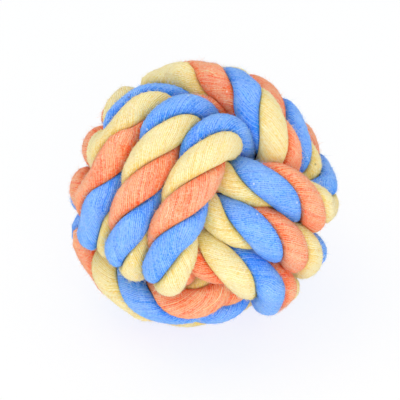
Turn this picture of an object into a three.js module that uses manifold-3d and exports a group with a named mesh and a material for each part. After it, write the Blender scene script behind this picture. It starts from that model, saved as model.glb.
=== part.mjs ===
// A rope ball for a dog: one three-strand cotton rope tied as a ball knot of three sets of three turns,
// each set passing over the next, with both whipped ends tucked into the middle.
// Millimetres, Z up. The ball stands on the flat that its own weight presses under it.

import * as THREE from "three";
import { mergeVertices } from "three/addons/utils/BufferGeometryUtils.js";
import Module from "manifold-3d";

// Driving dimensions of the ball and its rope
const BALL_DIAMETER = 70;
const ROPE_DIAMETER = 12.4;
const LAY_LENGTH = 33;
const STRAND_THICKNESS = 6.4;
const STRAND_WIDTH = 7.6;
const STRAND_GAP = 0.6;
const LEAST_REACH = 0.5;
const DRAWN_SPACING = 4.6;
const FLAT_DEPTH = 1.3;

// Where the passes run: on the surface, over the shoulder, through the neck and under another set
const SURFACE_PITCH = 11.2;
const SHOULDER_PITCH = 10.8;
const NECK_PITCH = 9.4;
const UNDER_PITCH = 8.6;
const SLANT = 1.6;
const SHOULDER_DEGREES = 37;
const SHOULDER_RISE = 0.1;
const NECK_REACH = 15.8;
const NECK_DIP = 1.2;
const LAYER_DEPTH = 9.4;
const SIDE_DIP = 1.5;
const SHIFT_BY_NECK = 0.28;
const CROSSOVER_REACH = 20;
const CROSSOVER_SIDE = 9.5;

// Where the core of the knot, tied by hand, lies off the ball's middle, along the same three directions
// as the points of the tucked ends
const CORE_OFFSET = [-2.8, -3.8, -0.8];

// The tucked ends, as points along the three face directions of the knot, in the rope's own order
const START_TAIL = [[6, -7, 3.2], [6, 1, 3.2], [7, 8.5, 0.5], [9.5, 14, -6], [11, 16.5, -15]];
const FINISH_TAIL = [[15, 11, -16], [7, 9.5, -14], [0, 6.5, -10], [-5, 1.5, -5], [-6, -7, -4]];

// The whipping on each end
const WHIPPED_DIAMETER = 10.4;
const WHIPPING_WIDTH = 6;
const WHIPPING_THICKNESS = 0.7;
const WHIPPING_SETBACK = 2;
const WHIPPING_CLEARANCE = 0.3;
const WHIPPING_SIDES = 20;

// How the ball lies: turns about X, Y and Z of the knot's face directions
const LIE_DEGREES = [-34, 26, -113];

// Counts
const TURNS_IN_SET = 3;
const STRANDS = 3;
const RINGS_PER_TWIST = 8;
const SAMPLES_PER_RING = 3;
const STRAND_SIDES = 7;
const DRAWING_ROUNDS = 60;
const ROUNDS_PER_SEARCH = 10;
const EASING_PASSES = 6;
const TRIMMING_ROUNDS = 4;

const LOOKS = {
  orange_strand: { color: 0xf0825a, roughness: 0.95, metalness: 0 },
  blue_strand: { color: 0x5591eb, roughness: 0.95, metalness: 0 },
  yellow_strand: { color: 0xf0d782, roughness: 0.95, metalness: 0 },
  whipping: { color: 0xece6d6, roughness: 0.9, metalness: 0 },
};

const crestRadius = (BALL_DIAMETER - ROPE_DIAMETER) / 2;
const shoulderRadius = crestRadius + SHOULDER_RISE;
const underRadius = crestRadius - LAYER_DEPTH;
const helixRadius = (ROPE_DIAMETER - STRAND_THICKNESS) / 2;
const strandReach = (BALL_DIAMETER - STRAND_THICKNESS) / 2;
const samplesPerTwist = RINGS_PER_TWIST * SAMPLES_PER_RING;

// The knot's three face directions, and its sets in the order in which the rope is tied.
// A set has passes on its two opposite faces (out), running one way round (along), side by side (across).
// phases gives, for chosen passes, the twist of the orange strand from straight up, in degrees.
const lie = new THREE.Euler(...LIE_DEGREES.map(THREE.MathUtils.degToRad));
const faces = [[1, 0, 0], [0, 1, 0], [0, 0, 1]].map((axis) => new THREE.Vector3(...axis).applyEuler(lie));
const [frontFace, rightFace, topFace] = faces;
const core = mix(faces, CORE_OFFSET);
const sets = [
  { out: topFace, along: rightFace, across: frontFace, firstFace: -1, firstSide: 1,
    phases: { 0: 235, 1: 81, 3: 317 } },
  { out: rightFace, along: frontFace, across: topFace, firstFace: 1, firstSide: 1,
    phases: { 0: 260, 2: 240, 4: 37 } },
  { out: frontFace, along: topFace.clone().negate(), across: rightFace, firstFace: -1, firstSide: -1,
    phases: { 1: 330, 3: 322, 5: 355 } },
];

function mix(axes, amounts) {
  const point = new THREE.Vector3();
  axes.forEach((axis, i) => point.addScaledVector(axis, amounts[i]));
  return point;
}

// Key points of one set: six passes over the surface, and the way under between one and the next.
function setPoints(set, joinsBefore, joinsAfter) {
  const points = [];
  const passes = 2 * TURNS_IN_SET;
  const sideOf = (pass) => set.firstSide * (1 - Math.floor(pass / 2));
  const add = (out, along, across, phase) => {
    points.push({ at: mix([set.out, set.along, set.across], [out, along, across]), phase });
  };
  const [coreOut, coreAlong, coreAcross] = [set.out, set.along, set.across].map((axis) => core.dot(axis));
  const shoulder = THREE.MathUtils.degToRad(SHOULDER_DEGREES);
  for (let pass = 0; pass < passes; pass += 1) {
    const face = pass % 2 === 0 ? set.firstFace : -set.firstFace;
    const side = sideOf(pass);
    const dip = SIDE_DIP * Math.abs(side);
    const track = coreAcross + side * SURFACE_PITCH;
    const shoulderTrack = coreAcross + side * SHOULDER_PITCH;
    const crest = face * Math.sqrt(crestRadius ** 2 - track ** 2);
    const over = face * Math.sqrt(shoulderRadius ** 2 - shoulderTrack ** 2);
    const overOut = over * Math.cos(shoulder);
    const overAlong = over * Math.sin(shoulder);
    const neckOut = coreOut + face * NECK_REACH;
    const neckAlong = face * (underRadius - NECK_DIP - dip);
    const neckAcross = (other) => (
      coreAcross + side * NECK_PITCH + (other - side) * SHIFT_BY_NECK * SURFACE_PITCH
    );
    if (pass > 0) {
      add(neckOut, -neckAlong, neckAcross(sideOf(pass - 1)));
    }
    if (pass > 0 || !joinsBefore) {
      add(overOut, coreAlong - overAlong, shoulderTrack - face * SLANT);
    }
    add(crest, coreAlong, track, set.phases[pass]);
    if (pass === passes - 1 && joinsAfter) {
      const reach = face * CROSSOVER_REACH;
      add(coreOut + reach, coreAlong + reach, coreAcross + side * CROSSOVER_SIDE);
    } else {
      add(overOut, coreAlong + overAlong, shoulderTrack + face * SLANT);
    }
    if (pass < passes - 1) {
      const next = sideOf(pass + 1);
      const middle = (side + next) / 2;
      const underAlong = face * (underRadius - SIDE_DIP * Math.abs(middle));
      add(neckOut, neckAlong, neckAcross(next));
      add(coreOut, underAlong, coreAcross + middle * UNDER_PITCH);
    }
  }
  return points;
}

// The rope's middle line in even steps, with the samples whose twist is chosen.
function ropeLine() {
  const tail = (points) => points.map((amounts) => ({ at: mix(faces, amounts).add(core) }));
  const keys = [
    ...tail(START_TAIL),
    ...sets.flatMap((set, i) => setPoints(set, i > 0, i < sets.length - 1)),
    ...tail(FINISH_TAIL),
  ];
  const curve = new THREE.CatmullRomCurve3(keys.map((key) => key.at));
  curve.arcLengthDivisions = keys.length * samplesPerTwist;
  const length = curve.getLength();
  const rings = Math.round((length / LAY_LENGTH) * RINGS_PER_TWIST);
  const samples = rings * SAMPLES_PER_RING;
  const line = curve.getSpacedPoints(samples);
  for (let pass = 0; pass < EASING_PASSES; pass += 1) {
    ease(line);
  }
  const nearest = (at) => {
    const distances = line.map((point) => point.distanceTo(at));
    return distances.indexOf(Math.min(...distances));
  };
  const marks = keys.filter((key) => key.phase !== undefined).map((key) => ({
    sample: nearest(key.at),
    angle: THREE.MathUtils.degToRad(key.phase),
  }));
  return { line, length, marks };
}

// Rounds a row of points off by moving each towards the middle of its neighbours.
function ease(row) {
  const before = row.map((point) => point.clone());
  for (let i = 1; i < row.length - 1; i += 1) {
    row[i].copy(before[i]).multiplyScalar(2).add(before[i - 1]).add(before[i + 1]).divideScalar(4);
  }
}

// Twist of the first strand at each sample: steady between chosen passes, by whole twists near the lay.
function twistAngles(samples, length, marks) {
  const perSample = (2 * Math.PI * length) / (LAY_LENGTH * samples);
  const knots = [];
  for (const { sample, angle } of marks) {
    const last = knots.at(-1);
    const steady = last ? last.angle + perSample * (sample - last.sample) : angle;
    const wholeTwists = Math.round((steady - angle) / (2 * Math.PI));
    knots.push({ sample, angle: angle + 2 * Math.PI * wholeTwists });
  }
  const first = knots[0];
  const last = knots.at(-1);
  knots.unshift({ sample: 0, angle: first.angle - perSample * first.sample });
  knots.push({ sample: samples, angle: last.angle + perSample * (samples - last.sample) });
  const angles = [];
  let span = 0;
  for (let i = 0; i <= samples; i += 1) {
    while (i > knots[span + 1].sample) {
      span += 1;
    }
    const [from, to] = [knots[span], knots[span + 1]];
    angles.push(THREE.MathUtils.mapLinear(i, from.sample, to.sample, from.angle, to.angle));
  }
  return angles;
}

function tangentAt(line, i) {
  const before = line[Math.max(i - 1, 0)];
  const after = line[Math.min(i + 1, line.length - 1)];
  return after.clone().sub(before).normalize();
}

// A direction square to a tangent, nearest to the wanted one.
function squareTo(tangent, wanted) {
  return wanted.clone().addScaledVector(tangent, -wanted.dot(tangent)).normalize();
}

function middleAt(strands, i) {
  return mix(strands.map((strand) => strand[i]), Array(STRANDS).fill(1 / STRANDS));
}

// How much slimmer the rope is than its full diameter: drawn in by the whippings, full beyond them.
function slimness(i, samples, length) {
  const fromEnd = (Math.min(i, samples - i) * length) / samples;
  const bound = WHIPPING_SETBACK + WHIPPING_WIDTH;
  const full = THREE.MathUtils.smoothstep(fromEnd, bound, bound + ROPE_DIAMETER);
  return THREE.MathUtils.lerp(WHIPPED_DIAMETER / ROPE_DIAMETER, 1, full);
}

// The middle lines of the three strands, laid right-handed round the rope's middle line.
function layStrands({ line, length, marks }) {
  const angles = twistAngles(line.length - 1, length, marks);
  return Array.from({ length: STRANDS }, (_, strand) => line.map((middle, i) => {
    const tangent = tangentAt(line, i);
    const up = squareTo(tangent, middle);
    const beside = new THREE.Vector3().crossVectors(tangent, up);
    const angle = angles[i] - (strand * 2 * Math.PI) / STRANDS;
    const radius = helixRadius * slimness(i, line.length - 1, length);
    return middle.clone()
      .addScaledVector(up, radius * Math.cos(angle))
      .addScaledVector(beside, radius * Math.sin(angle));
  }));
}

// Pairs of samples that lie within a reach of each other and are not one stretch of one strand.
function closePairs(points, count, reach) {
  const pairs = [];
  for (let i = 0; i < points.length; i += 1) {
    for (let j = i + 1; j < points.length; j += 1) {
      const sameStrand = Math.floor(i / count) === Math.floor(j / count);
      const apart = !sameStrand || j - i >= samplesPerTwist / 2;
      if (apart && points[i].distanceToSquared(points[j]) < reach * reach) {
        pairs.push([i, j]);
      }
    }
  }
  return pairs;
}

// Draws the knot up: strands that come too close push each other aside, and none leaves the ball.
function drawUp(strands) {
  const count = strands[0].length;
  const points = strands.flat();
  const push = new THREE.Vector3();
  let pairs = [];
  for (let round = 0; round < DRAWING_ROUNDS; round += 1) {
    if (round % ROUNDS_PER_SEARCH === 0) {
      pairs = closePairs(points, count, DRAWN_SPACING + STRAND_THICKNESS / 2);
    }
    const moves = points.map(() => new THREE.Vector3());
    const weights = points.map(() => 0);
    for (const [i, j] of pairs) {
      push.subVectors(points[j], points[i]);
      const distance = push.length();
      const short = DRAWN_SPACING - distance;
      if (short > 0) {
        push.multiplyScalar((short * short) / (2 * distance));
        moves[i].sub(push);
        moves[j].add(push);
        weights[i] += short;
        weights[j] += short;
      }
    }
    moves.forEach((move, i) => move.divideScalar(Math.max(weights[i], Number.EPSILON)));
    for (let strand = 0; strand < STRANDS; strand += 1) {
      const row = moves.slice(strand * count, (strand + 1) * count);
      for (let pass = 0; pass < EASING_PASSES; pass += 1) {
        ease(row);
      }
    }
    points.forEach((point, i) => point.add(moves[i]).clampLength(0, strandReach));
  }
}

// What surrounds one sample of a strand: its own directions, its slimness and the walls that squeeze it.
// A wall stands half way to each strand beside it, and clear of each whipping that the strand passes.
function surroundings(strands, strand, i, length, bands) {
  const line = strands[strand];
  const point = line[i];
  const tangent = tangentAt(line, i);
  const outward = squareTo(tangent, point.clone().sub(middleAt(strands, i)));
  const beside = new THREE.Vector3().crossVectors(tangent, outward);
  const walls = [];
  strands.forEach((other, s) => other.forEach((neighbour, j) => {
    const near = neighbour.distanceTo(point);
    const apart = s !== strand || Math.abs(i - j) >= samplesPerTwist / 2;
    if (apart && near < STRAND_WIDTH + STRAND_GAP) {
      const normal = neighbour.clone().sub(point).divideScalar(near);
      walls.push({ normal, distance: (near - STRAND_GAP) / 2 });
    }
  }));
  for (const band of bands.filter(({ first, last }) => i < first || i > last)) {
    const normal = band.line.closestPointToPoint(point, true, new THREE.Vector3()).sub(point);
    const near = normal.length();
    walls.push({ normal: normal.divideScalar(near), distance: near - band.outer - WHIPPING_CLEARANCE });
  }
  return { point, outward, beside, walls, slim: slimness(i, line.length - 1, length) };
}

// How far a strand's surface may reach from its middle in one direction: to its own oval section,
// or to the first wall.
function reachOf({ outward, beside, walls, slim }, direction) {
  const tall = direction.dot(outward) / (STRAND_THICKNESS / 2);
  const wide = direction.dot(beside) / (STRAND_WIDTH / 2);
  let reach = slim / Math.hypot(tall, wide);
  for (const { normal, distance } of walls) {
    const towards = normal.dot(direction);
    if (towards > 0) {
      reach = Math.min(reach, distance / towards);
    }
  }
  return reach;
}

// Rings of surface points along one strand, squeezed by the strands beside it. The straight edges
// from ring to ring are drawn in wherever they would stand proud of the squeezed strand between.
function strandRings(strands, strand, length, bands) {
  const samples = strands[strand].map((_, i) => surroundings(strands, strand, i, length, bands));
  const ringSamples = samples.filter((_, i) => i % SAMPLES_PER_RING === 0);
  const sides = Array.from({ length: STRAND_SIDES }, (_, side) => (2 * Math.PI * side) / STRAND_SIDES);
  const rays = ringSamples.map((sample) => sides.map((turn) => {
    const direction = mix([sample.outward, sample.beside], [Math.cos(turn), Math.sin(turn)]);
    return { start: sample.point, direction, reach: reachOf(sample, direction) };
  }));
  const tip = ({ start, direction, reach }) => start.clone().addScaledVector(direction, reach);
  for (let round = 0; round < TRIMMING_ROUNDS; round += 1) {
    for (let ring = 0; ring < rays.length - 1; ring += 1) {
      for (let side = 0; side < STRAND_SIDES; side += 1) {
        const [near, far] = [rays[ring][side], rays[ring + 1][side]];
        for (let k = 1; k < SAMPLES_PER_RING; k += 1) {
          const sample = samples[ring * SAMPLES_PER_RING + k];
          const offset = tip(near).lerp(tip(far), k / SAMPLES_PER_RING).sub(sample.point);
          const proud = offset.length() - reachOf(sample, offset.clone().normalize());
          if (proud > 0) {
            near.reach = Math.max(near.reach - proud, LEAST_REACH);
            far.reach = Math.max(far.reach - proud, LEAST_REACH);
          }
        }
      }
    }
  }
  return rays.map((ring) => ring.map(tip));
}

// A closed tube over rings of surface points.
function tubeGeometry(rings) {
  const index = [];
  const last = (rings.length - 1) * STRAND_SIDES;
  for (let ring = 0; ring < rings.length - 1; ring += 1) {
    for (let side = 0; side < STRAND_SIDES; side += 1) {
      const next = (side + 1) % STRAND_SIDES;
      const [a, b] = [ring * STRAND_SIDES + side, ring * STRAND_SIDES + next];
      const [c, d] = [b + STRAND_SIDES, a + STRAND_SIDES];
      index.push(a, b, c, a, c, d);
    }
  }
  for (let side = 1; side < STRAND_SIDES - 1; side += 1) {
    index.push(0, side + 1, side);
    index.push(last, last + side, last + side + 1);
  }
  const geometry = new THREE.BufferGeometry().setFromPoints(rings.flat());
  geometry.setIndex(index);
  return geometry;
}

// The least gap of one strand to itself, measured on its ring points and half way between them.
function leastGap(rings) {
  const rows = rings.slice(0, -1).map((ring, i) => ring.flatMap((point, side) => [
    point,
    point.clone().lerp(rings[i + 1][side], 0.5),
    point.clone().lerp(ring[(side + 1) % STRAND_SIDES], 0.5),
  ]));
  let least = Infinity;
  for (let i = 0; i < rows.length; i += 1) {
    for (let j = i + Math.ceil(RINGS_PER_TWIST / 2); j < rows.length; j += 1) {
      if (rows[i][0].distanceTo(rows[j][0]) < 3 * STRAND_WIDTH) {
        for (const p of rows[i]) {
          for (const q of rows[j]) {
            least = Math.min(least, p.distanceTo(q));
          }
        }
      }
    }
  }
  return least;
}

const wasm = await Module();
wasm.setup();

function toSolid(geometry) {
  return new wasm.Manifold(new wasm.Mesh({
    numProp: 3,
    vertProperties: new Float32Array(geometry.getAttribute("position").array),
    triVerts: new Uint32Array(geometry.index.array),
  }));
}

// Cuts a closed tube flat at the floor.
function cutFlat(geometry, floor) {
  const ground = new THREE.BoxGeometry(2 * BALL_DIAMETER, 2 * BALL_DIAMETER, BALL_DIAMETER);
  ground.translate(0, 0, floor - BALL_DIAMETER / 2);
  ground.deleteAttribute("normal");
  ground.deleteAttribute("uv");
  const { vertProperties, triVerts } = toSolid(geometry).subtract(toSolid(mergeVertices(ground))).getMesh();
  const cut = new THREE.BufferGeometry();
  cut.setAttribute("position", new THREE.BufferAttribute(vertProperties, 3));
  cut.setIndex(new THREE.BufferAttribute(triVerts, 1));
  return cut;
}

function piece(name, geometry, look) {
  const mesh = new THREE.Mesh(geometry, new THREE.MeshStandardMaterial(look));
  mesh.name = name;
  return mesh;
}

// The thread band that binds the strands together near one end of the rope, sized to hold their rings.
function whippingBand(line, first, last, rings) {
  const inner = Math.max(...rings.flat().map((point) => (
    line.closestPointToPoint(point, false, new THREE.Vector3()).distanceTo(point)
  ))) + WHIPPING_CLEARANCE;
  return { line, first, last, inner, outer: inner + WHIPPING_THICKNESS };
}

// The bands at the rope's start and finish.
function whippingBands(strands, rings, length) {
  const samples = strands[0].length - 1;
  const step = length / samples;
  const bound = WHIPPING_SETBACK + WHIPPING_WIDTH;
  const [from, to] = [WHIPPING_SETBACK, bound].map((distance) => Math.round(distance / step));
  const reach = Math.round((bound + ROPE_DIAMETER) / step);
  const heldRings = Math.ceil(to / SAMPLES_PER_RING) + 1;
  const lineOf = (i, j) => new THREE.Line3(middleAt(strands, i), middleAt(strands, j));
  return [
    whippingBand(lineOf(from, to), 0, reach, rings.flatMap((ring) => ring.slice(0, heldRings))),
    whippingBand(lineOf(samples - from, samples - to), samples - reach, samples,
      rings.flatMap((ring) => ring.slice(-heldRings))),
  ];
}

function whipping(name, { line, inner, outer }) {
  const half = line.distance() / 2;
  const section = [[inner, -half], [outer, -half], [outer, half], [inner, half], [inner, -half]];
  const geometry = new THREE.LatheGeometry(section.map((at) => new THREE.Vector2(...at)), WHIPPING_SIDES);
  const mesh = piece(name, geometry, LOOKS.whipping);
  const axis = line.delta(new THREE.Vector3()).normalize();
  mesh.position.copy(line.getCenter(new THREE.Vector3()));
  mesh.quaternion.setFromUnitVectors(new THREE.Vector3(0, 1, 0), axis);
  return mesh;
}

const rope = ropeLine();
const strands = layStrands(rope);
drawUp(strands);
const strandNames = ["orange_strand", "blue_strand", "yellow_strand"];
const ringsClearOf = (bands) => strands.map((_, strand) => strandRings(strands, strand, rope.length, bands));
const bands = whippingBands(strands, ringsClearOf([]), rope.length);
const rings = ringsClearOf(bands);
const box = new THREE.Box3().setFromPoints(rings.flat(2));
const floor = box.min.z + FLAT_DEPTH;

const ball = new THREE.Group();
strandNames.forEach((name, strand) => {
  console.log(`${name}: least gap to itself ${leastGap(rings[strand]).toFixed(2)} mm`);
  ball.add(piece(name, cutFlat(tubeGeometry(rings[strand]), floor), LOOKS[name]));
});
console.log(`rope length ${rope.length.toFixed(0)} mm`);
ball.add(whipping("start_whipping", bands[0]));
ball.add(whipping("finish_whipping", bands[1]));

const middle = box.getCenter(new THREE.Vector3());
ball.position.set(-middle.x, -middle.y, -floor);

export default ball;
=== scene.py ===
"""A rope ball for a dog, dressed: soft cotton strands of three colours tied in a ball knot.

The knot's route is worked out in millimetres about the ball's middle and then set in the frame in metres.
"""
import logging
import math
from dataclasses import dataclass, field
from enum import Enum

import bpy
import numpy as np
from mathutils import Matrix, Vector

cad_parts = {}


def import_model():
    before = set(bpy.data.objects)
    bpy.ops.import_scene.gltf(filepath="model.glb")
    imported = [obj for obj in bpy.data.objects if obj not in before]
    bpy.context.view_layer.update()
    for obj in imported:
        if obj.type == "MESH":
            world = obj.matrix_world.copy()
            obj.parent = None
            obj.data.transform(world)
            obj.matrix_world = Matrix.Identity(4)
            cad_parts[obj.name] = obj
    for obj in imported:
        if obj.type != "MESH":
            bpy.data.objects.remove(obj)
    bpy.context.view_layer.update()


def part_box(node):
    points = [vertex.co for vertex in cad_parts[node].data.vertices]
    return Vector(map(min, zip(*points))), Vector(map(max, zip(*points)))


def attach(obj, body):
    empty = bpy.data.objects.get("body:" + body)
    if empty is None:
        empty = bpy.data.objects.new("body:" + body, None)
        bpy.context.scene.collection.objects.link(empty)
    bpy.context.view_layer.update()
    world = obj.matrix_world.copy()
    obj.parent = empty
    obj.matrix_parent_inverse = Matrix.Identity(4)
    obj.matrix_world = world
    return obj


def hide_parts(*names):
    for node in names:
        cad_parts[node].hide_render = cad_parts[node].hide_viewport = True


LOG = logging.getLogger("rope_ball")
MM = 0.001
FULL_TURN = 2 * math.pi
PHOTO_PIXELS = 400
# The middle of a pattern that runs from 0 to 1, and the setting of a hue that changes nothing.
MIDDLE = 0.5

Colour = tuple[int, int, int]
Key = tuple[np.ndarray, float | None]
Mark = tuple[int, float]
Socket = bpy.types.NodeSocket


class Face(Enum):
    """A face direction of the knot, by its place among the knot's axes."""

    FRONT = 0
    RIGHT = 1
    TOP = 2


class Dye(Enum):
    """A strand's colour, by its place round the rope."""

    ORANGE = 0
    BLUE = 1
    YELLOW = 2


def ease(rows: np.ndarray) -> None:
    """Round rows of points off, in place, by moving each towards the middle of its neighbours."""
    middle = (rows[..., :-2, :] + 2 * rows[..., 1:-1, :] + rows[..., 2:, :]) / 4
    rows[..., 1:-1, :] = middle


def unit(vectors: np.ndarray) -> np.ndarray:
    """Return the vectors at length one."""
    return vectors / np.linalg.norm(vectors, axis=-1, keepdims=True)


def square_to(tangents: np.ndarray, wanted: np.ndarray) -> np.ndarray:
    """Return the directions square to the tangents that are nearest to the wanted ones."""
    return unit(wanted - (wanted * tangents).sum(-1, keepdims=True) * tangents)


def tangents_of(line: np.ndarray) -> np.ndarray:
    """Return the direction of a line at each of its points."""
    return unit(np.gradient(line, axis=-2))


def smoothstep(values: np.ndarray, low: float, high: float) -> np.ndarray:
    """Return values eased from 0 at low to 1 at high."""
    share = np.clip((values - low) / (high - low), 0, 1)
    return share * share * (3 - 2 * share)


def spline_points(keys: np.ndarray, at: np.ndarray) -> np.ndarray:
    """Points of a smooth curve through key points, with knots spaced by the root of the distance.

    Args:
        keys: the key points, one a row.
        at: places along the curve, from 0 at the first key to 1 at the last.

    Returns:
        One point a row for each place.
    """
    padded = np.vstack([2 * keys[0] - keys[1], keys, 2 * keys[-1] - keys[-2]])
    place = np.asarray(at) * (len(keys) - 1)
    span = np.minimum(place.astype(int), len(keys) - 2)
    share = (place - span)[:, None]
    before, start, end, after = (padded[span + offset] for offset in range(4))
    roots = [
        np.sqrt(np.linalg.norm(b - a, axis=1, keepdims=True))
        for a, b in ((before, start), (start, end), (end, after))
    ]
    leave = (start - before) / roots[0] - (end - before) / (roots[0] + roots[1])
    leave = (leave + (end - start) / roots[1]) * roots[1]
    reach = (end - start) / roots[1] - (after - start) / (roots[1] + roots[2])
    reach = (reach + (after - end) / roots[2]) * roots[1]
    square = -3 * start + 3 * end - 2 * leave - reach
    cube = 2 * start - 2 * end + leave + reach
    return start + leave * share + square * share**2 + cube * share**3


@dataclass(frozen=True)
class TurnSet:
    """Three turns of the rope, side by side, over two opposite faces of the knot.

    phases gives, for chosen passes, the twist of the orange strand from straight up, in degrees.
    """

    out: Face
    along: Face
    across: Face
    heading: int
    first_face: int
    first_side: int
    phases: dict[int, float]


@dataclass
class BallKnot:
    """The route of the rope and of its three strands through the ball knot, in millimetres."""

    ball_diameter: float = 70.0
    rope_diameter: float = 12.4
    lay_length: float = 33.0
    strand_thickness: float = 6.4
    drawn_spacing: float = 4.6
    surface_pitch: float = 11.2
    shoulder_pitch: float = 10.8
    neck_pitch: float = 9.4
    under_pitch: float = 8.6
    slant: float = 1.6
    shoulder_degrees: float = 37.0
    shoulder_rise: float = 0.1
    neck_reach: float = 15.8
    neck_dip: float = 1.2
    layer_depth: float = 9.4
    side_dip: float = 1.5
    shift_by_neck: float = 0.28
    crossover_reach: float = 20.0
    crossover_side: float = 9.5
    whipped_diameter: float = 10.4
    whipping_setback: float = 2.0
    whipping_width: float = 6.0
    core_offset: tuple[float, float, float] = (-2.8, -3.8, -0.8)
    lie_degrees: tuple[float, float, float] = (-34.0, 26.0, -113.0)
    start_tail: tuple[tuple[float, float, float], ...] = (
        (6, -7, 3.2), (6, 1, 3.2), (7, 8.5, 0.5), (9.5, 14, -6), (11, 16.5, -15),
    )
    finish_tail: tuple[tuple[float, float, float], ...] = (
        (15, 11, -16), (7, 9.5, -14), (0, 6.5, -10), (-5, 1.5, -5), (-6, -7, -4),
    )
    sets: tuple[TurnSet, ...] = (
        TurnSet(Face.TOP, Face.RIGHT, Face.FRONT, 1, -1, 1, {0: 235, 1: 81, 3: 317}),
        TurnSet(Face.RIGHT, Face.FRONT, Face.TOP, 1, 1, 1, {0: 260, 2: 240, 4: 37}),
        TurnSet(Face.FRONT, Face.TOP, Face.RIGHT, -1, -1, -1, {1: 330, 3: 322, 5: 355}),
    )
    turns_in_set: int = 3
    samples_per_twist: int = 24
    samples_per_ring: int = 3
    drawing_rounds: int = 60
    rounds_per_search: int = 10
    easing_passes: int = 6
    faces: np.ndarray = field(init=False, default=None)
    length: float = field(init=False, default=0.0)
    strands: np.ndarray = field(init=False, default=None)

    def __post_init__(self) -> None:
        """Work out the strands' middle lines."""
        x, y, z = (math.radians(angle) for angle in self.lie_degrees)
        lie = Matrix.Rotation(x, 3, "X") @ Matrix.Rotation(y, 3, "Y") @ Matrix.Rotation(z, 3, "Z")
        self.faces = np.array(lie.transposed())
        line, marks = self.rope_line()
        self.strands = self.draw_up(self.lay_strands(line, marks))

    @property
    def crest_radius(self) -> float:
        """Distance of the rope's middle line from the ball's middle on the surface."""
        return (self.ball_diameter - self.rope_diameter) / 2

    @property
    def helix_radius(self) -> float:
        """Distance of a strand's middle from the rope's middle line."""
        return (self.rope_diameter - self.strand_thickness) / 2

    @property
    def strand_reach(self) -> float:
        """The farthest that a strand's middle may lie from the ball's middle."""
        return (self.ball_diameter - self.strand_thickness) / 2

    def set_points(self, turns: TurnSet, first: bool, last: bool) -> list[Key]:
        """Key points of one set: six passes, and the way under between one and the next.

        Args:
            turns: the set.
            first: whether the rope starts with this set.
            last: whether the rope ends with it.

        Returns:
            Each point with the twist chosen for it, if any.
        """
        points: list[Key] = []
        passes = 2 * self.turns_in_set
        axes = np.array([
            self.faces[turns.out.value],
            self.faces[turns.along.value] * turns.heading,
            self.faces[turns.across.value],
        ])
        core_out, core_along, core_across = axes @ (np.array(self.core_offset) @ self.faces)
        shoulder_radius = self.crest_radius + self.shoulder_rise
        under_radius = self.crest_radius - self.layer_depth
        shoulder = math.radians(self.shoulder_degrees)

        def side_of(number: int) -> int:
            """Which of the three tracks a pass takes."""
            return turns.first_side * (1 - number // 2)

        def add(out: float, along: float, across: float, phase: float | None = None) -> None:
            """Add a point by its distances along the set's axes."""
            points.append((np.array([out, along, across]) @ axes, phase))

        for number in range(passes):
            face = turns.first_face if number % 2 == 0 else -turns.first_face
            side = side_of(number)
            track = core_across + side * self.surface_pitch
            over_track = core_across + side * self.shoulder_pitch
            crest = face * math.sqrt(self.crest_radius**2 - track**2)
            over = face * math.sqrt(shoulder_radius**2 - over_track**2)
            over_out = over * math.cos(shoulder)
            over_along = over * math.sin(shoulder)
            neck_out = core_out + face * self.neck_reach
            neck_along = face * (under_radius - self.neck_dip - self.side_dip * abs(side))

            def neck_across(other: int) -> float:
                """Where a neck lies across, on its way from one track to another."""
                shift = (other - side) * self.shift_by_neck * self.surface_pitch
                return core_across + side * self.neck_pitch + shift

            if number > 0:
                add(neck_out, -neck_along, neck_across(side_of(number - 1)))
            if number > 0 or first:
                add(over_out, core_along - over_along, over_track - face * self.slant)
            add(crest, core_along, track, turns.phases.get(number))
            if number == passes - 1 and not last:
                reach = face * self.crossover_reach
                add(core_out + reach, core_along + reach, core_across + side * self.crossover_side)
            else:
                add(over_out, core_along + over_along, over_track + face * self.slant)
            if number < passes - 1:
                following = side_of(number + 1)
                middle = (side + following) / 2
                under_along = face * (under_radius - self.side_dip * abs(middle))
                add(neck_out, neck_along, neck_across(following))
                add(core_out, under_along, core_across + middle * self.under_pitch)
        return points

    def rope_line(self) -> tuple[np.ndarray, list[Mark]]:
        """The rope's middle line in even steps, and the samples whose twist is chosen.

        Returns:
            The points, and each chosen sample with its twist in radians.
        """
        core = np.array(self.core_offset)
        keys = [((core + point) @ self.faces, None) for point in self.start_tail]
        for number, turns in enumerate(self.sets):
            keys += self.set_points(turns, number == 0, number == len(self.sets) - 1)
        keys += [((core + point) @ self.faces, None) for point in self.finish_tail]
        points = np.array([point for point, _ in keys])
        fine = np.linspace(0, 1, len(points) * self.samples_per_twist + 1)
        steps = np.linalg.norm(np.diff(spline_points(points, fine), axis=0), axis=1)
        travelled = np.concatenate([[0], np.cumsum(steps)])
        self.length = travelled[-1]
        rings_per_twist = self.samples_per_twist // self.samples_per_ring
        samples = round(self.length / self.lay_length * rings_per_twist) * self.samples_per_ring
        even = np.linspace(0, self.length, samples + 1)
        line = spline_points(points, np.interp(even, travelled, fine))
        for _ in range(self.easing_passes):
            ease(line)
        marks = [
            (int(np.linalg.norm(line - point, axis=1).argmin()), math.radians(phase))
            for point, phase in keys
            if phase is not None
        ]
        return line, marks

    def twist_angles(self, samples: int, marks: list[Mark]) -> np.ndarray:
        """Twist of the first strand at each sample: steady between chosen passes, near the lay.

        Args:
            samples: how many samples the line has.
            marks: the chosen samples and their twists.

        Returns:
            The twist in radians at each sample.
        """
        rate = FULL_TURN * self.length / (self.lay_length * (samples - 1))
        knots: list[Mark] = []
        for sample, angle in marks:
            steady = knots[-1][1] + rate * (sample - knots[-1][0]) if knots else angle
            knots.append((sample, angle + FULL_TURN * round((steady - angle) / FULL_TURN)))
        first, last = knots[0], knots[-1]
        knots.insert(0, (0, first[1] - rate * first[0]))
        knots.append((samples - 1, last[1] + rate * (samples - 1 - last[0])))
        places, angles = zip(*knots)
        return np.interp(np.arange(samples), places, angles)

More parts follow.
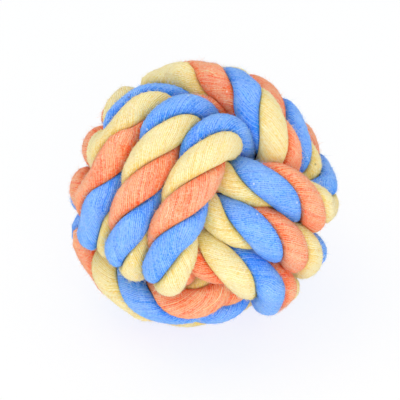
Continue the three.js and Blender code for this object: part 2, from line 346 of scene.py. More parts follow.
    def slimness(self, samples: int) -> np.ndarray:
        """How much slimmer the rope is than its full diameter: drawn in by the whippings at its ends.

        Args:
            samples: how many samples the line has.

        Returns:
            A share of the full diameter at each sample.
        """
        place = np.arange(samples)
        from_end = np.minimum(place, samples - 1 - place) * self.length / (samples - 1)
        bound = self.whipping_setback + self.whipping_width
        full = smoothstep(from_end, bound, bound + self.rope_diameter)
        slim = self.whipped_diameter / self.rope_diameter
        return slim + (1 - slim) * full

    def lay_strands(self, line: np.ndarray, marks: list[Mark]) -> np.ndarray:
        """Lay the strands right-handed round the rope's middle line.

        Args:
            line: the middle line.
            marks: the chosen samples and their twists.

        Returns:
            The strands' middle lines, one strand a row.
        """
        samples = len(line)
        tangent = tangents_of(line)
        up = square_to(tangent, line)
        beside = np.cross(tangent, up)
        angles = self.twist_angles(samples, marks)
        radius = (self.helix_radius * self.slimness(samples))[:, None]
        laid = []
        for dye in Dye:
            angle = (angles - dye.value * FULL_TURN / len(Dye))[:, None]
            laid.append(line + radius * (up * np.cos(angle) + beside * np.sin(angle)))
        return np.array(laid)

    def close_pairs(self, points: np.ndarray, count: int, reach: float) -> tuple[np.ndarray, np.ndarray]:
        """Pairs of samples within a reach of each other that are not one stretch of one strand.

        Args:
            points: the samples of all strands, one a row.
            count: how many samples a strand has.
            reach: the farthest that a pair may lie apart.

        Returns:
            The first and the second sample of each pair.
        """
        squares = (points**2).sum(1)
        apart = squares[:, None] + squares[None] - 2 * points @ points.T
        first, second = np.nonzero(np.triu(apart < reach * reach, 1))
        other_strand = first // count != second // count
        keep = other_strand | (second - first >= self.samples_per_twist / 2)
        return first[keep], second[keep]

    def draw_up(self, strands: np.ndarray) -> np.ndarray:
        """Draw the knot up: strands that come too close push each other aside inside the ball.

        Args:
            strands: the laid strands.

        Returns:
            The strands as the tight knot holds them.
        """
        count = strands.shape[1]
        points = strands.reshape(-1, 3).copy()
        search = self.drawn_spacing + self.strand_thickness / 2
        for number in range(self.drawing_rounds):
            if number % self.rounds_per_search == 0:
                first, second = self.close_pairs(points, count, search)
            offset = points[second] - points[first]
            distance = np.linalg.norm(offset, axis=1)
            short = np.maximum(self.drawn_spacing - distance, 0)
            push = offset * (short**2 / (2 * distance))[:, None]
            both = np.concatenate([first, second])
            pushes = np.concatenate([-push, push])
            moves = np.stack([np.bincount(both, axis, len(points)) for axis in pushes.T], 1)
            weights = np.bincount(both, np.concatenate([short, short]), len(points))
            moves /= np.maximum(weights, np.finfo(float).eps)[:, None]
            rows = moves.reshape(len(Dye), count, 3)
            for _ in range(self.easing_passes):
                ease(rows)
            points += rows.reshape(-1, 3)
            radius = np.linalg.norm(points, axis=1)
            points *= np.minimum(1, self.strand_reach / radius)[:, None]
        return points.reshape(strands.shape)

    def whipping_ends(self, at_start: bool) -> tuple[np.ndarray, np.ndarray]:
        """The two ends of a whipping's own middle line.

        Args:
            at_start: whether it is the whipping at the rope's start.

        Returns:
            The end near the rope's cut, and the other.
        """
        step = self.length / (self.strands.shape[1] - 1)
        middles = self.strands.mean(0) if at_start else self.strands.mean(0)[::-1]
        bound = self.whipping_setback + self.whipping_width
        return middles[round(self.whipping_setback / step)], middles[round(bound / step)]


class NodeDesk:
    """The nodes of a material or of the world, with short ways to add and join them."""

    # A mix node's colour sockets go by number, because its other sockets have the same names.
    MIX_SHARE, MIX_FIRST, MIX_SECOND, MIX_RESULT = 0, 6, 7, 2

    def __init__(self, owner: bpy.types.Material | bpy.types.World) -> None:
        """Clear the owner's nodes and keep its tree.

        Args:
            owner: the material or the world.
        """
        owner.use_nodes = True
        self.tree = owner.node_tree
        self.tree.nodes.clear()

    def add(
        self, kind: str, feeds: dict[str | int, object] | None = None, **settings: object
    ) -> bpy.types.Node:
        """Add a node.

        Args:
            kind: its type.
            feeds: by name or number, a value for each input or another node's socket to join to it.
            settings: its own settings.

        Returns:
            The node.
        """
        node = self.tree.nodes.new(kind)
        for name, value in settings.items():
            setattr(node, name, value)
        for key, value in (feeds or {}).items():
            if isinstance(value, Socket):
                self.tree.links.new(value, node.inputs[key])
            else:
                node.inputs[key].default_value = value
        return node

    def math(self, operation: str, *values: object) -> Socket:
        """Add a sum and return its result."""
        return self.add("ShaderNodeMath", dict(enumerate(values)), operation=operation).outputs[0]

    def blend(self, share: object, first: object, second: object) -> Socket:
        """Add a mix of two colours and return its result."""
        feeds = {self.MIX_SHARE: share, self.MIX_FIRST: first, self.MIX_SECOND: second}
        return self.add("ShaderNodeMix", feeds, data_type="RGBA").outputs[self.MIX_RESULT]

    def mix(self, share: object, first: bpy.types.Node, second: bpy.types.Node) -> bpy.types.Node:
        """Add a mix of two shaders and return its node."""
        return self.add("ShaderNodeMixShader", {0: share, 1: first.outputs[0], 2: second.outputs[0]})

    def noise(self, where: object, scale: float, detail: float = 2.0, curl: float = 0.0) -> Socket:
        """Add a cloudy noise, with its scale in repeats a metre, and return its strength."""
        feeds = {"Vector": where, "Scale": scale, "Detail": detail, "Distortion": curl}
        return self.add("ShaderNodeTexNoise", feeds).outputs["Fac"]

    def output(self, shader: bpy.types.Node, kind: str = "ShaderNodeOutputMaterial") -> None:
        """Let a shader give the surface its look."""
        self.add(kind, {"Surface": shader.outputs[0]})


def linear(red: int, green: int, blue: int) -> tuple[float, float, float, float]:
    """Turn a colour as it looks on a screen into the renderer's own units, by the standard screen curve.

    Args:
        red: how much red it has, from 0 to 255.
        green: how much green.
        blue: how much blue.

    Returns:
        The same three from 0 to 1, and full cover.
    """
    straight_end, slope, offset, power = 0.04045, 12.92, 0.055, 2.4
    parts = [value / 255 for value in (red, green, blue)]
    bent = [p / slope if p <= straight_end else ((p + offset) / (1 + offset)) ** power for p in parts]
    return (*bent, 1.0)


@dataclass(frozen=True)
class FibreFinish:
    """Single cotton fibres and threads, unevenly dyed between two colours."""

    name: str
    slot: str
    first: Colour
    second: Colour
    sheen: float = 0.3
    mottle_scale: float = 130.0
    roughness: float = 0.9
    gloss: float = 0.1

    def material(self) -> bpy.types.Material:
        """Make the material, which all pieces of the finish share.

        Returns:
            The material.
        """
        made = bpy.data.materials.get(self.name) or bpy.data.materials.new(self.name)
        desk = NodeDesk(made)
        mottle = desk.noise(desk.add("ShaderNodeTexCoord").outputs["Object"], self.mottle_scale)
        desk.output(desk.add("ShaderNodeBsdfPrincipled", {
            "Base Color": desk.blend(mottle, linear(*self.first), linear(*self.second)),
            "Roughness": self.roughness,
            "Specular IOR Level": self.gloss,
            "Sheen Weight": self.sheen,
        }))
        return made


@dataclass(frozen=True)
class CottonFinish:
    """Soft dyed cotton: yarns side by side, a fine fuzz over them and a few flecks of lint, with painted
    shade in the creases between strands.
    """

    name: str
    slot: str
    light: Colour
    deep: Colour
    fleck: Colour
    yarns: int = 36
    yarn_wander: float = 2.4
    wander_scale: float = 170.0
    ridge_power: float = 4.0
    streaks: int = 120
    streak_length: float = 0.006
    fuzz_scale: float = 2100.0
    fine_detail: float = 3.0
    mottle_scale: float = 130.0
    hair_scale: float = 620.0
    hair_curl: float = 1.6
    hair_width: float = 0.03
    hair_strength: float = 0.3
    hue_swing: float = 0.012
    lint: Colour = (250, 246, 238)
    seed: Colour = (112, 92, 80)
    speck_strength: float = 0.5
    fleck_scale: float = 300.0
    fleck_size: float = 0.09
    fleck_share: float = 0.68
    seed_scale: float = 170.0
    seed_size: float = 0.06
    seed_share: float = 0.75
    bump_strength: float = 0.7
    bump_depth: float = 0.0004
    roughness: float = 0.95
    gloss: float = 0.12
    sheen: float = 0.3
    sheen_roughness: float = 0.45
    glow_weight: float = 0.4
    glow_depth: float = 0.0008
    middle_level: float = 0.26
    # Painted light and shade: how much darker the creases and lighter the crests are painted.
    crest_light_level: float = 0.44
    ridge_level: float = 0.85
    yarn_level: float = 0.3
    streak_level: float = 2.6
    fuzz_level: float = 2.1
    mottle_level: float = 1.0

    def fibre(self) -> FibreFinish:
        """Return the finish of this cotton's loose fibres."""
        name = f"{self.name}_fibre"
        return FibreFinish(name, self.slot, self.light, self.fleck, self.sheen, self.mottle_scale)

    def material(self) -> bpy.types.Material:
        """Make the material.

        Returns:
            The material, which reads where the yarns run, and the painted crease shade, from the mesh's
            own "yarn" values.
        """
        made = bpy.data.materials.new(self.name)
        desk = NodeDesk(made)
        light = linear(*self.light)
        where = desk.add("ShaderNodeTexCoord").outputs["Object"]
        across, along, crest_light = self.yarn_place(desk, where)
        ridge = self.ridge(desk, across)
        streak = self.streak(desk, across, along)
        fuzz = desk.noise(where, self.fuzz_scale, self.fine_detail)
        mottle = desk.noise(where, self.mottle_scale)
        yarn = self.yarn_shade(desk, across)
        level = self.level(desk, {
            # Painted shade: darker towards the deep colour in the creases between strands, lighter on
            # open crests.
            crest_light: self.crest_light_level,
            ridge: self.ridge_level,
            yarn: self.yarn_level,
            streak: self.streak_level,
            fuzz: self.fuzz_level,
            mottle: self.mottle_level,
        })
        colour = desk.blend(level, linear(*self.deep), light)
        colour = self.varied(desk, colour, (yarn, mottle))
        colour = self.haired(desk, where, crest_light, colour)
        flecks = self.specks(desk, where, self.fleck_scale, self.fleck_size, self.fleck_share)
        colour = desk.blend(flecks, colour, linear(*self.lint))
        seeds = self.specks(desk, where, self.seed_scale, self.seed_size, self.seed_share)
        colour = desk.blend(seeds, colour, linear(*self.seed))
        bump = desk.add("ShaderNodeBump", {
            "Strength": self.bump_strength,
            "Distance": self.bump_depth,
            "Height": desk.math("ADD", desk.math("ADD", ridge, streak), fuzz),
        })
        desk.output(desk.add("ShaderNodeBsdfPrincipled", {
            "Base Color": colour,
            "Normal": bump.outputs["Normal"],
            "Roughness": self.roughness,
            "Specular IOR Level": self.gloss,
            "Subsurface Weight": self.glow_weight,
            "Subsurface Radius": light[:3],
            "Subsurface Scale": self.glow_depth,
            "Sheen Weight": self.sheen,
            "Sheen Roughness": self.sheen_roughness,
            "Sheen Tint": light,
        }))
        return made

    def yarn_place(self, desk: NodeDesk, where: Socket) -> tuple[Socket, Socket, Socket]:
        """Find a point's place among the yarns.

        Args:
            desk: the material's nodes.
            where: the point itself.

        Returns:
            Its place across, counted in yarns that wander a little, its place along the rope in metres,
            and the painted crease shade, from 0 in a crease, where the cotton is painted darker, to 1 on
            a crest.
        """
        marks = desk.add("ShaderNodeAttribute", attribute_name="yarn").outputs["Vector"]
        laid = desk.add("ShaderNodeSeparateXYZ", {0: marks}).outputs
        wander = desk.math("SUBTRACT", desk.noise(where, self.wander_scale), MIDDLE)
        straight = desk.math("MULTIPLY", laid[0], float(self.yarns))
        return desk.math("MULTIPLY_ADD", wander, self.yarn_wander, straight), laid[1], laid[2]

    def level(self, desk: NodeDesk, shares: dict[Socket, float]) -> Socket:
        """Add up how light the cotton is from patterns that each swing about one half.

        Args:
            desk: the material's nodes.
            shares: the patterns, each with its strength.

        Returns:
            A level from 0, deep, to 1, light.
        """
        total: object = self.middle_level - sum(shares.values()) / 2
        for pattern, strength in shares.items():
            total = desk.math("MULTIPLY_ADD", pattern, strength, total)
        return total

    def varied(self, desk: NodeDesk, colour: Socket, patterns: tuple[Socket, ...]) -> Socket:
        """Swing a colour's hue a little.

        Args:
            desk: the material's nodes.
            colour: the colour.
            patterns: what swings it, each about one half.

        Returns:
            The varied colour.
        """
        hue: object = MIDDLE - self.hue_swing * len(patterns) / 2
        for pattern in patterns:
            hue = desk.math("MULTIPLY_ADD", pattern, self.hue_swing, hue)
        return desk.add("ShaderNodeHueSaturation", {"Hue": hue, "Color": colour}).outputs["Color"]

    def ridge(self, desk: NodeDesk, across: Socket) -> Socket:
        """Return how high a point stands on its yarn, from 0 between two yarns to 1 on a crest."""
        off = desk.math("ABSOLUTE", desk.math("MULTIPLY_ADD", desk.math("FRACT", across), 2.0, -1.0))
        return desk.math("SUBTRACT", 1.0, desk.math("POWER", off, self.ridge_power))

    def yarn_shade(self, desk: NodeDesk, across: Socket) -> Socket:
        """Return a shade of its own for each yarn."""
        number = desk.math("FLOOR", desk.math("FLOORED_MODULO", across, float(self.yarns)))
        return desk.add("ShaderNodeTexWhiteNoise", {"W": number}, noise_dimensions="1D").outputs["Value"]

    def streak(self, desk: NodeDesk, across: Socket, along: Socket) -> Socket:
        """Streaks of fibre that run with the yarns.

        Args:
            desk: the material's nodes.
            across: the place across, counted in yarns.
            along: the place along the rope.

        Returns:
            The strength of the streaks, the same on both sides of the line where the yarns' count starts.
        """
        angle = desk.math("MULTIPLY", across, FULL_TURN / self.yarns)
        radius = self.streaks / FULL_TURN
        place = desk.add("ShaderNodeCombineXYZ", {
            0: desk.math("MULTIPLY", desk.math("COSINE", angle), radius),
            1: desk.math("MULTIPLY", desk.math("SINE", angle), radius),
            2: desk.math("DIVIDE", along, self.streak_length),
        })
        return desk.noise(place.outputs[0], 1.0, self.fine_detail)

    def haired(self, desk: NodeDesk, where: Socket, crest_light: Socket, colour: Socket) -> Socket:
        """Lay a haze of pale curled hairs over a colour, on the crests: partly fuzz, partly painted
        light.

        Args:
            desk: the material's nodes.
            where: the point itself.
            crest_light: the painted crease shade, from 0 in a crease to 1 on a crest.
            colour: the colour.

        Returns:
            The colour with the hairs over it towards the crests, which paints the crests paler: partly
            fuzz, partly painted light.
        """
        wave = desk.noise(where, self.hair_scale, curl=self.hair_curl)
        off = desk.math("ABSOLUTE", desk.math("SUBTRACT", wave, MIDDLE))
        hair = desk.math("MULTIPLY", desk.math("LESS_THAN", off, self.hair_width), self.hair_strength)
        # Painted light: the hairs are kept off the creases, so only the crests get the pale haze.
        return desk.blend(desk.math("MULTIPLY", hair, crest_light), colour, linear(*self.fleck))

    def specks(self, desk: NodeDesk, where: Socket, scale: float, size: float, share: float) -> Socket:
        """Scatter small specks over the cotton.

        Args:
            desk: the material's nodes.
            where: the point itself.
            scale: how many places for a speck lie along a metre.
            size: a speck's reach from the middle of its place.
            share: the share of the places that stay bare.

        Returns:
            How much a speck covers the point.
        """
        cells = desk.add("ShaderNodeTexVoronoi", {"Vector": where, "Scale": scale}).outputs
        chance = desk.add("ShaderNodeSeparateColor", {0: cells["Color"]}).outputs[0]
        chosen = desk.math("GREATER_THAN", chance, share)
        near = desk.math("LESS_THAN", cells["Distance"], size)
        return desk.math("MULTIPLY", desk.math("MULTIPLY", chosen, near), self.speck_strength)


# deep is the dark of the yarn lines and of random tone, and also the colour of the painted shade in the
# creases between strands.
ORANGE_COTTON = CottonFinish(
    "orange_cotton", "orange_cotton", light=(252, 182, 142), deep=(253, 98, 20), fleck=(255, 220, 196)
)
BLUE_COTTON = CottonFinish(
    "blue_cotton", "blue_cotton", light=(140, 190, 254), deep=(32, 122, 240), fleck=(190, 215, 255)
)
YELLOW_COTTON = CottonFinish(
    "yellow_cotton", "yellow_cotton", light=(247, 232, 180), deep=(238, 204, 92), fleck=(255, 247, 224)
)
FINISHES = {Dye.ORANGE: ORANGE_COTTON, Dye.BLUE: BLUE_COTTON, Dye.YELLOW: YELLOW_COTTON}
LOOSE_YARN = FibreFinish("loose_yarn", "yellow_cotton", YELLOW_COTTON.deep, YELLOW_COTTON.fleck)
WHIPPING_THREAD = FibreFinish(
    "whipping_thread",
    "whipping_thread",
    first=(214, 204, 182),
    second=(244, 240, 228),
    sheen=0.0,
    mottle_scale=900.0,
    gloss=0.5,
)


def add_object(name: str, data: bpy.types.ID) -> bpy.types.Object:
    """Put an object in the scene.

    Args:
        name: its name.
        data: its mesh, lamp or lens.

    Returns:
        The object.
    """
    made = bpy.data.objects.new(name, data)
    bpy.context.scene.collection.objects.link(made)
    return made


def dress(
    name: str, mesh: bpy.types.Mesh, finish: CottonFinish | FibreFinish, node: str | None = None
) -> bpy.types.Object:
    """Put a mesh on the ball as a piece of its own.

    Args:
        name: the piece's name.
        mesh: its mesh.
        finish: its finish.
        node: the solid whose place it takes, if any.

    Returns:
        The piece, riding on the ball.
    """
    mesh.materials.append(finish.material())
    made = add_object(name, mesh)
    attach(made, "root")
    if node:
        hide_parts(node)
    return made


def mesh_of(name: str, points: np.ndarray, faces: list[list[int]]) -> bpy.types.Mesh:
    """Make a mesh that shades smoothly.

    Args:
        name: its name.
        points: its points in millimetres, one a row.
        faces: its faces, as lists of point numbers.

    Returns:
        The mesh, in metres.
    """
    mesh = bpy.data.meshes.new(name)
    mesh.from_pydata((points * MM).tolist(), [], faces)
    mesh.polygons.foreach_set("use_smooth", [True] * len(mesh.polygons))
    mesh.update()
    return mesh


def tube_faces(rings: int, sides: int) -> list[list[int]]:
    """Faces of a closed tube over rings of points.

    Args:
        rings: how many rings it has.
        sides: how many points a ring has.

    Returns:
        The side faces ring by ring, and then the two end caps.
    """
    ring, side = np.meshgrid(np.arange(rings - 1), np.arange(sides), indexing="ij")
    following = (side + 1) % sides
    corners = [ring * sides + side, ring * sides + following]
    corners += [corners[1] + sides, corners[0] + sides]
    faces = np.stack(corners, -1).reshape(-1, 4).tolist()
    faces.append(list(range(sides))[::-1])
    faces.append(list(range((rings - 1) * sides, rings * sides)))
    return faces


def turns_of(sides: int) -> np.ndarray:
    """Return even angles all the way round."""
    return np.arange(sides) * FULL_TURN / sides


def spokes(first: np.ndarray, second: np.ndarray, sides: int) -> np.ndarray:
    """Return directions all round each sample of a line, from a first one and one a quarter turn on."""
    turn = turns_of(sides)[:, None]
    return np.cos(turn) * first[:, None] + np.sin(turn) * second[:, None]


def thread_mesh(
    name: str, line: np.ndarray, out: np.ndarray, thickness: float, sides: int
) -> bpy.types.Mesh:
    """Return the mesh of a thin round thread, from its middle line and the way out at each point."""
    rings = line[:, None] + spokes(out, np.cross(tangents_of(line), out), sides) * thickness / 2
    return mesh_of(name, rings.reshape(-1, 3), tube_faces(len(line), sides))


def soften(grid: np.ndarray) -> None:
    """Even out values over a strand's surface, in place, round its rings and from ring to ring."""
    grid[:] = (np.roll(grid, 1, 1) + 2 * grid + np.roll(grid, -1, 1)) / 4
    ease(grid)


@dataclass
class CottonStrand:
    """One strand of the rope: a soft oval bundle, squeezed by the strands that lie against it."""

    knot: BallKnot
    dye: Dye
    centre: np.ndarray
    thickness: float = 6.6
    width: float = 7.7
    contact_gap: float = 0.02
    samples: int = 1480
    sides: int = 64
    corner_hardness: float = 12.0
    least_towards: float = 1e-6
    smoothing_passes: int = 2
    lump_height: float = 0.05
    lump_passes: int = 5
    lump_seed: int = 11
    yarn_twists: float = 2.7
    free_room: float = 1.06
    # crease and crest: where the painted crease shade runs from darkest to none, by the room to the next
    # strand over the strand's own reach.
    crease: float = 0.9
    crest: float = 2.6
    surface: np.ndarray = field(init=False, default=None)
    free: np.ndarray = field(init=False, default=None)
    # Painted shade at each point of the surface: 0 in a crease, painted darkest, to 1 on an open crest.
    crest_light: np.ndarray = field(init=False, default=None)
    rays: np.ndarray = field(init=False, default=None)
    tangent: np.ndarray = field(init=False, default=None)

    @property
    def name(self) -> str:
        """The name of the node that the strand stands for."""
        return f"{self.dye.name.lower()}_strand"

    def fine_lines(self) -> np.ndarray:
        """Return the middle lines of all strands in this strand's own finer steps."""
        at = np.linspace(0, 1, self.samples)
        return np.array([spline_points(line, at) for line in self.knot.strands])

    def shape(self) -> None:
        """Work out the strand's surface, ring by ring, where it lies free of other strands, and its
        painted crease shade.
        """
        lines = self.fine_lines()
        line = lines[self.dye.value]
        tangent = tangents_of(line)
        outward = square_to(tangent, line - lines.mean(0))
        rays = spokes(outward, np.cross(tangent, outward), self.sides)
        turn = turns_of(self.sides)
        oval = 1 / np.hypot(2 * np.cos(turn) / self.thickness, 2 * np.sin(turn) / self.width)
        full = oval[None] * self.knot.slimness(self.samples)[:, None]
        walls = self.walls(lines, rays)
        hard = self.corner_hardness
        reach = (full**-hard + walls**-hard) ** (-1 / hard)
        # Painted shade: 0 where another strand lies close, in a crease, to 1 on an open crest; the
        # material paints the creases darker and the crests lighter by it.
        crest_light = smoothstep(walls / full, self.crease, self.crest)
        for _ in range(self.smoothing_passes):
            soften(reach)
            soften(crest_light)
        reach += self.lumps() - self.contact_gap / 2
        surface = line[:, None] + reach[..., None] * rays + self.centre
        surface[..., 2] = np.maximum(surface[..., 2], 0)
        self.free = walls > full * self.free_room
        self.surface, self.crest_light, self.rays, self.tangent = surface, crest_light, rays, tangent

    def walls(self, lines: np.ndarray, rays: np.ndarray) -> np.ndarray:
        """How far each ray may run before it is half way to another strand.

        Args:
            lines: the middle lines of all strands.
            rays: the directions round each sample of this strand.

        Returns:
            A distance for each ray.
        """
        others = lines.reshape(-1, 3)
        owner = np.repeat(np.arange(len(lines)), self.samples)
        place = np.tile(np.arange(self.samples), len(lines))
        half_twist = self.knot.lay_length / 2 / self.knot.length * self.samples
        found = np.full(rays.shape[:2], np.inf)
        for number, point in enumerate(lines[self.dye.value]):
            offset = others - point
            apart = np.linalg.norm(offset, axis=1)
            same = (owner == self.dye.value) & (abs(place - number) < half_twist)
            near = (apart < self.width) & ~same
            if near.any():
                towards = rays[number] @ (offset[near] / apart[near, None]).T
                limit = apart[near] / 2 / np.maximum(towards, self.least_towards)
                found[number] = limit.min(1)
        return found

    def lumps(self) -> np.ndarray:
        """Draw small soft lumps, which a hand-laid bundle of yarn has.

        Returns:
            A height for each point of the surface.
        """
        draw = np.random.default_rng(self.dye.value + self.lump_seed)
        height = draw.normal(size=(self.samples, self.sides))
        for _ in range(self.lump_passes):
            soften(height)
        return height / height.std() * self.lump_height

    def spots(self, along: np.ndarray, degrees: np.ndarray) -> tuple[np.ndarray, np.ndarray]:
        """Find points of the surface.

        Args:
            along: their places along the rope, in millimetres.
            degrees: their places round the strand.

        Returns:
            The points, and the direction out of the strand at each.
        """
        ring = along / self.knot.length * (self.samples - 1)
        side = degrees * self.sides / 360
        ring_before = np.floor(ring).astype(int)
        side_before = np.floor(side).astype(int)
        share = (ring - ring_before)[:, None]
        turn_share = (side - side_before)[:, None]

        def between(grid: np.ndarray) -> np.ndarray:
            """Blend the four nearest values of a grid over the surface.

            Args:
                grid: a vector for each point of the surface.

            Returns:
                A vector for each spot.
            """
            rows = grid[ring_before] * (1 - share[..., None]) + grid[ring_before + 1] * share[..., None]
            place = np.arange(len(rows))
            first = rows[place, side_before % self.sides]
            second = rows[place, (side_before + 1) % self.sides]
            return first * (1 - turn_share) + second * turn_share

        return between(self.surface), unit(between(self.rays))

    def build(self) -> bpy.types.Object:
        """Make the strand's mesh and dress it.

        Returns:
            The strand, riding on the ball in place of its node.
        """
        self.shape()
        mesh = mesh_of(self.name, self.surface.reshape(-1, 3), tube_faces(self.samples, self.sides))
        self.mark_yarns(mesh)
        return dress(f"{self.dye.name.lower()}_cotton_strand", mesh, FINISHES[self.dye], self.name)

    def mark_yarns(self, mesh: bpy.types.Mesh) -> None:
        """Give each face corner its place among the yarns and its painted crease shade.

        The place is across the yarns, in turns, along the rope, in metres, and the corner's painted
        crease shade.

        Args:
            mesh: the strand's mesh, whose side faces come ring by ring.
        """
        ring, side = np.meshgrid(np.arange(self.samples - 1), np.arange(self.sides), indexing="ij")
        rings = np.stack([ring, ring, ring + 1, ring + 1], -1)
        sides = np.stack([side, side + 1, side + 1, side], -1)
        along = rings * self.knot.length / (self.samples - 1)
        across = sides / self.sides + self.yarn_twists * along / self.knot.lay_length
        values = np.zeros((len(mesh.loops), 3))
        count = across.size
        values[:count, 0] = across.ravel()
        values[:count, 1] = along.ravel() * MM
        # Painted crease shade, by which the material paints the creases darker.
        values[:count, 2] = self.crest_light[rings, sides % self.sides].ravel()
        marks = mesh.attributes.new("yarn", "FLOAT_VECTOR", "CORNER")
        marks.data.foreach_set("vector", values.ravel())


@dataclass
class Fuzz:
    """Short loose fibres that stand off the free surface of one strand."""

    strand: CottonStrand
    fibres: int = 19000
    fibre_seed: int = 31
    least_length: float = 0.2
    usual_length: float = 0.35
    most_length: float = 1.3
    thickness: float = 0.05
    middle_taper: float = 0.75
    least_rise: float = 0.1
    most_rise: float = 0.9
    curl: float = 0.6
    least_facing: float = 0.0
    floor_margin: float = 0.6
    sides: int = 3

    def build(self) -> bpy.types.Object:
        """Make the fibres as one mesh and dress them like their strand.

        Returns:
            The fuzz, riding on the ball.
        """
        name = f"{self.strand.dye.name.lower()}_fuzz"
        points = self.points()
        mesh = mesh_of(name, points.reshape(-1, 3), self.faces(points.shape[1]))
        return dress(name, mesh, FINISHES[self.strand.dye].fibre())

    def points(self) -> np.ndarray:
        """Grow the fibres.

        Returns:
            The points of each fibre: a ring at its root, a slimmer ring half way and its tip.
        """
        strand = self.strand
        draw = np.random.default_rng(strand.dye.value + self.fibre_seed)
        facing = (unit(strand.surface - strand.centre) * strand.rays).sum(-1)
        clear = strand.surface[..., 2] > self.floor_margin
        ring, side = np.nonzero(strand.free & clear & (facing > self.least_facing))
        chosen = draw.choice(len(ring), self.fibres)
        ring, side = ring[chosen], side[chosen]
        normal = strand.rays[ring, side]
        tangent = strand.tangent[ring]
        sideways = np.cross(tangent, normal)
        step = strand.knot.length / strand.samples
        root = strand.surface[ring, side] + draw.uniform(-step, step, self.fibres)[:, None] / 2 * tangent
        heading = draw.uniform(0, FULL_TURN, self.fibres)[:, None]
        rise = draw.uniform(self.least_rise, self.most_rise, self.fibres)[:, None]
        start = unit(np.cos(heading) * tangent + np.sin(heading) * sideways + rise * normal)
        bend = draw.normal(size=(self.fibres, 3)) * self.curl
        length = self.least_length + draw.exponential(self.usual_length, self.fibres)[:, None]
        length = np.minimum(length, self.most_length)
        across = unit(np.cross(start, normal))
        section = spokes(across, np.cross(start, across), self.sides) * (self.thickness / 2)
        middle = root + length * (start / 2 + bend / 4)
        tip = root + length * (start + bend)
        rings = [root[:, None] + section, middle[:, None] + section * self.middle_taper, tip[:, None]]
        points = np.concatenate(rings, 1)
        points[..., 2] = np.maximum(points[..., 2], 0)
        return points

    def faces(self, points: int) -> list[list[int]]:
        """Faces of all fibres.

        Args:
            points: how many points a fibre has.

        Returns:
            The faces: a fibre's two bands, and the cap at its root.
        """
        pattern = [list(range(self.sides))[::-1]]
        for side in range(self.sides):
            following = (side + 1) % self.sides
            pattern.append([side, following, self.sides + following, self.sides + side])
            pattern.append([self.sides + side, self.sides + following, points - 1])
        firsts = range(0, self.fibres * points, points)
        return [[first + corner for corner in face] for first in firsts for face in pattern]


@dataclass(frozen=True)
class LooseThread:
    """A stray end of pale yarn that clings to a strand.

    along and degrees give its middle's place along the rope and round the strand. heading is how far it
    leans off the strand's own run, and bend how far it turns from end to end, both in degrees.
    """

    dye: Dye
    along: float
    degrees: float
    heading: float
    length: float
    bend: float
    thickness: float = 0.15
    lift: float = 0.08
    end_lift: float = 0.3
    end_power: int = 4
    steps: int = 16
    sides: int = 5

    def build(self, name: str, strand: CottonStrand) -> bpy.types.Object:
        """Lay the thread on its strand and dress it.

        Args:
            name: the piece's name.
            strand: the strand that it clings to.

        Returns:
            The thread, riding on the ball.
        """
        share = np.linspace(-1, 1, self.steps)
        angle = np.radians(self.heading + self.bend / 2 * share)
        step = self.length / self.steps
        run = np.cumsum(np.cos(angle)) * step
        swing = np.degrees(np.cumsum(np.sin(angle)) * step / (strand.thickness / 2))
        along = self.along + run - run.mean()
        degrees = self.degrees + swing - swing.mean()
        points, normal = strand.spots(along, degrees)
        line = points + (self.lift + self.end_lift * share**self.end_power)[:, None] * normal
        return dress(name, thread_mesh(name, line, normal, self.thickness, self.sides), LOOSE_YARN)


LOOSE_THREADS = (
    LooseThread(Dye.ORANGE, 38.5, 14, -45, 5.0, 30),
    LooseThread(Dye.ORANGE, 140.0, 0, -55, 4.6, 45),
    LooseThread(Dye.ORANGE, 856.2, 309, -70, 2.6, -25),
    LooseThread(Dye.ORANGE, 1381.3, 3, -62, 3.8, 20),
)


@dataclass
class Whipping:
    """A thread wound tight round one end of the rope, inside the ball."""

    knot: BallKnot
    centre: np.ndarray
    at_start: bool
    thread: float = 0.7
    sides: int = 8
    steps_per_turn: int = 40

    @property
    def name(self) -> str:
        """The name of the node that the whipping stands for."""
        return "start_whipping" if self.at_start else "finish_whipping"

    def build(self) -> bpy.types.Object:
        """Make the wound thread and dress it.

        Returns:
            The whipping, riding on the ball in place of its node.
        """
        near, far = self.knot.whipping_ends(self.at_start)
        axis = unit(far - near)
        low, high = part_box(self.name)
        size = np.array(high - low) / MM
        spread = np.sqrt(1 - axis**2)
        half_width = np.linalg.norm(far - near) / 2
        radius = ((size / 2 - half_width * abs(axis)) / spread).mean() - self.thread / 2
        turns = int(2 * half_width / self.thread) - 1
        share = np.linspace(0, 1, turns * self.steps_per_turn)
        upright = np.array([0.0, 0.0, 1.0])
        first = unit(np.cross(axis, upright))
        second = np.cross(axis, first)
        angle = share * turns * FULL_TURN
        out = np.cos(angle)[:, None] * first + np.sin(angle)[:, None] * second
        run = (share - MIDDLE) * turns * self.thread
        line = (near + far) / 2 + self.centre + run[:, None] * axis + radius * out
        mesh = thread_mesh(self.name, line, out, self.thread, self.sides)
        return dress(f"{self.name}_thread", mesh, WHIPPING_THREAD, self.name)


@dataclass(frozen=True)
class SoftLamp:
    """A square lamp: its place from the ball's middle and its width in metres, and its power in watts."""

    name: str
    place: tuple[float, float, float]
    size: float
    power: float


